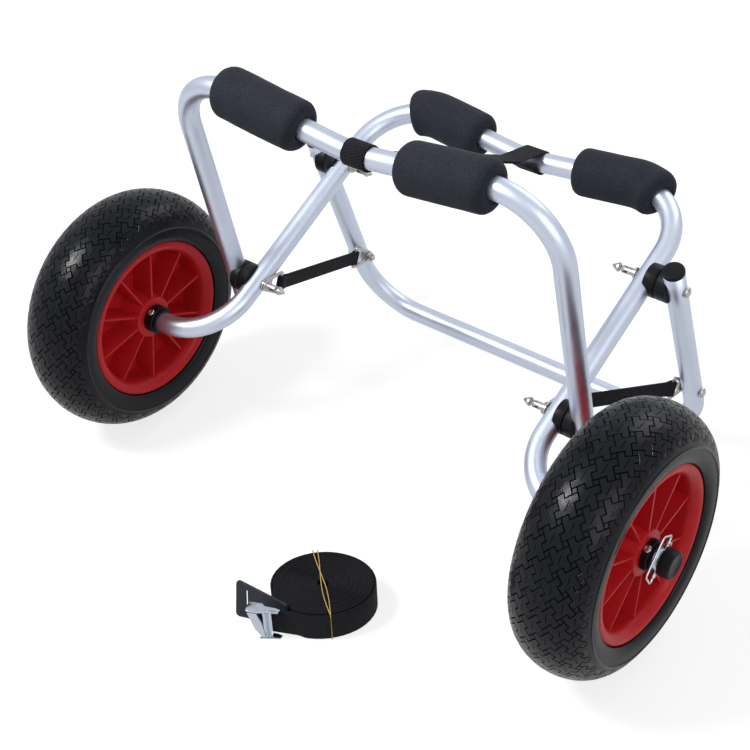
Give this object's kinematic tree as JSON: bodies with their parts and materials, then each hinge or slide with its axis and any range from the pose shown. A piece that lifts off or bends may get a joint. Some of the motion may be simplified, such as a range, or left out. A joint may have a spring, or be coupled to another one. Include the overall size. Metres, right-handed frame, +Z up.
{
  "type": "kayak cart",
  "caption": "Folding wheeled kayak cart: foam-padded cradle bars on bent tube frames, a rear stand, drop-nose pivot pins, retaining straps and a rolled cam-buckle strap.",
  "frame": {"origin": "middle of the whole object's box on the ground, the strap roll beside the cart included", "axes": "+X along the axle to the right-hand wheel, +Y to the rear (the stand's side), +Z up from the ground"},
  "size_m": [0.7046, 0.5166, 0.4336],
  "materials": {
    "frame_aluminium": "satin anodised",
    "foam": "matte closed-cell foam",
    "black_plastic": "moulded, lightly grained",
    "zinc_steel": "zinc plated",
    "chrome_steel": "bright nickel plate",
    "tyre_rubber": "moulded tread",
    "red_plastic": "injection moulded, semi-gloss",
    "webbing": "woven nylon webbing",
    "gold_elastic": "metallic-thread elastic",
    "flap_plastic": "smooth, semi-matte"
  },
  "bodies": {
    "axle_frame": {"axle_frame_tube": "frame_aluminium", "top_strap": "webbing", "rear_pad_left": "foam", "front_pivot_inner_saddle_left": "black_plastic", "stand_pivot_inner_saddle_left": "black_plastic", "front_pivot_pin_left": "zinc_steel", "stand_pivot_pin_left": "zinc_steel", "inner_collar_left": "black_plastic", "inner_collar_screw_left": "zinc_steel", "outer_collar_left": "black_plastic", "outer_collar_screw_left": "zinc_steel", "axle_end_cap_left": "black_plastic", "lock_pin_left": "zinc_steel", "front_strap_bracket_left": "zinc_steel", "lower_strap_left": "webbing", "rear_pad_right": "foam", "front_pivot_inner_saddle_right": "black_plastic", "stand_pivot_inner_saddle_right": "black_plastic", "front_pivot_pin_right": "zinc_steel", "stand_pivot_pin_right": "zinc_steel", "inner_collar_right": "black_plastic", "inner_collar_screw_right": "zinc_steel", "outer_collar_right": "black_plastic", "outer_collar_screw_right": "zinc_steel", "axle_end_cap_right": "black_plastic", "lock_pin_right": "zinc_steel", "front_strap_bracket_right": "zinc_steel", "lower_strap_right": "webbing"},
    "front_frame": {"front_frame_tube": "frame_aluminium", "front_pad_left": "foam", "front_pivot_outer_saddle_left": "black_plastic", "front_pad_right": "foam", "front_pivot_outer_saddle_right": "black_plastic"},
    "stand": {"stand_tube": "frame_aluminium", "stand_cap_left": "black_plastic", "stand_bolt_left": "zinc_steel", "stand_nut_left": "zinc_steel", "rear_strap_bracket_left": "zinc_steel", "stand_pivot_outer_saddle_left": "black_plastic", "stand_cap_right": "black_plastic", "stand_bolt_right": "zinc_steel", "stand_nut_right": "zinc_steel", "rear_strap_bracket_right": "zinc_steel", "stand_pivot_outer_saddle_right": "black_plastic"},
    "wheel_left": {"tyre_left": "tyre_rubber", "rim_left": "red_plastic"},
    "wheel_right": {"tyre_right": "tyre_rubber", "rim_right": "red_plastic"},
    "bail_left": {"wire_bail_left": "chrome_steel"},
    "bail_right": {"wire_bail_right": "chrome_steel"},
    "front_nose_left": {"front_pivot_pin_nose_left": "zinc_steel"},
    "front_nose_right": {"front_pivot_pin_nose_right": "zinc_steel"},
    "stand_nose_left": {"stand_pivot_pin_nose_left": "zinc_steel"},
    "stand_nose_right": {"stand_pivot_pin_nose_right": "zinc_steel"},
    "strap_kit": {"strap_roll": "webbing", "strap_tie_band": "gold_elastic", "buckle_frame": "chrome_steel", "buckle_flap": "flap_plastic"},
    "buckle_cam": {"buckle_lever": "chrome_steel"}
  },
  "joints": [
    {"name": "front_frame_fold", "type": "hinge", "parent": "axle_frame", "child": "front_frame", "pos_m": [0, 0.00774, 0.16243], "axis": [-1, 0, 0], "range_deg": [0, 58], "deforming": ["top_strap"]},
    {"name": "stand_fold", "type": "hinge", "parent": "axle_frame", "child": "stand", "pos_m": [0, 0.15237, 0.2311], "axis": [-1, 0, 0], "range_deg": [0, 64], "deforming": ["lower_strap_left", "lower_strap_right"]},
    {"name": "wheel_spin_left", "type": "hinge", "parent": "axle_frame", "child": "wheel_left", "pos_m": [-0.295, -0.06687, 0.127], "axis": [1, 0, 0], "continuous": true},
    {"name": "wheel_spin_right", "type": "hinge", "parent": "axle_frame", "child": "wheel_right", "pos_m": [0.295, -0.06687, 0.127], "axis": [1, 0, 0], "continuous": true},
    {"name": "wire_bail_swing_left", "type": "hinge", "parent": "axle_frame", "child": "bail_left", "pos_m": [-0.338, -0.05301, 0.14086], "axis": [-1, 0, 0], "range_deg": [0, 90]},
    {"name": "wire_bail_swing_right", "type": "hinge", "parent": "axle_frame", "child": "bail_right", "pos_m": [0.338, -0.05301, 0.14086], "axis": [-1, 0, 0], "range_deg": [0, 90]},
    {"name": "front_pin_nose_swing_left", "type": "hinge", "parent": "axle_frame", "child": "front_nose_left", "pos_m": [-0.159, 0.00774, 0.16243], "axis": [0, 0, 1], "range_deg": [-90, 90]},
    {"name": "front_pin_nose_swing_right", "type": "hinge", "parent": "axle_frame", "child": "front_nose_right", "pos_m": [0.159, 0.00774, 0.16243], "axis": [0, 0, 1], "range_deg": [-90, 90]},
    {"name": "stand_pin_nose_swing_left", "type": "hinge", "parent": "axle_frame", "child": "stand_nose_left", "pos_m": [-0.159, 0.15237, 0.2311], "axis": [0, 0, 1], "range_deg": [-90, 90]},
    {"name": "stand_pin_nose_swing_right", "type": "hinge", "parent": "axle_frame", "child": "stand_nose_right", "pos_m": [0.159, 0.15237, 0.2311], "axis": [0, 0, 1], "range_deg": [-90, 90]},
    {"name": "strap_kit_lift", "type": "slide", "parent": "axle_frame", "child": "strap_kit", "axis": [0, 0, 1], "range_m": [0, 0.15]},
    {"name": "buckle_lever_open", "type": "hinge", "parent": "strap_kit", "child": "buckle_cam", "pos_m": [0.04392, -0.24651, 0.0173], "axis": [0, 0, 1], "range_deg": [0, 70], "stiffness_Nm_per_rad": 0.02}
  ]
}
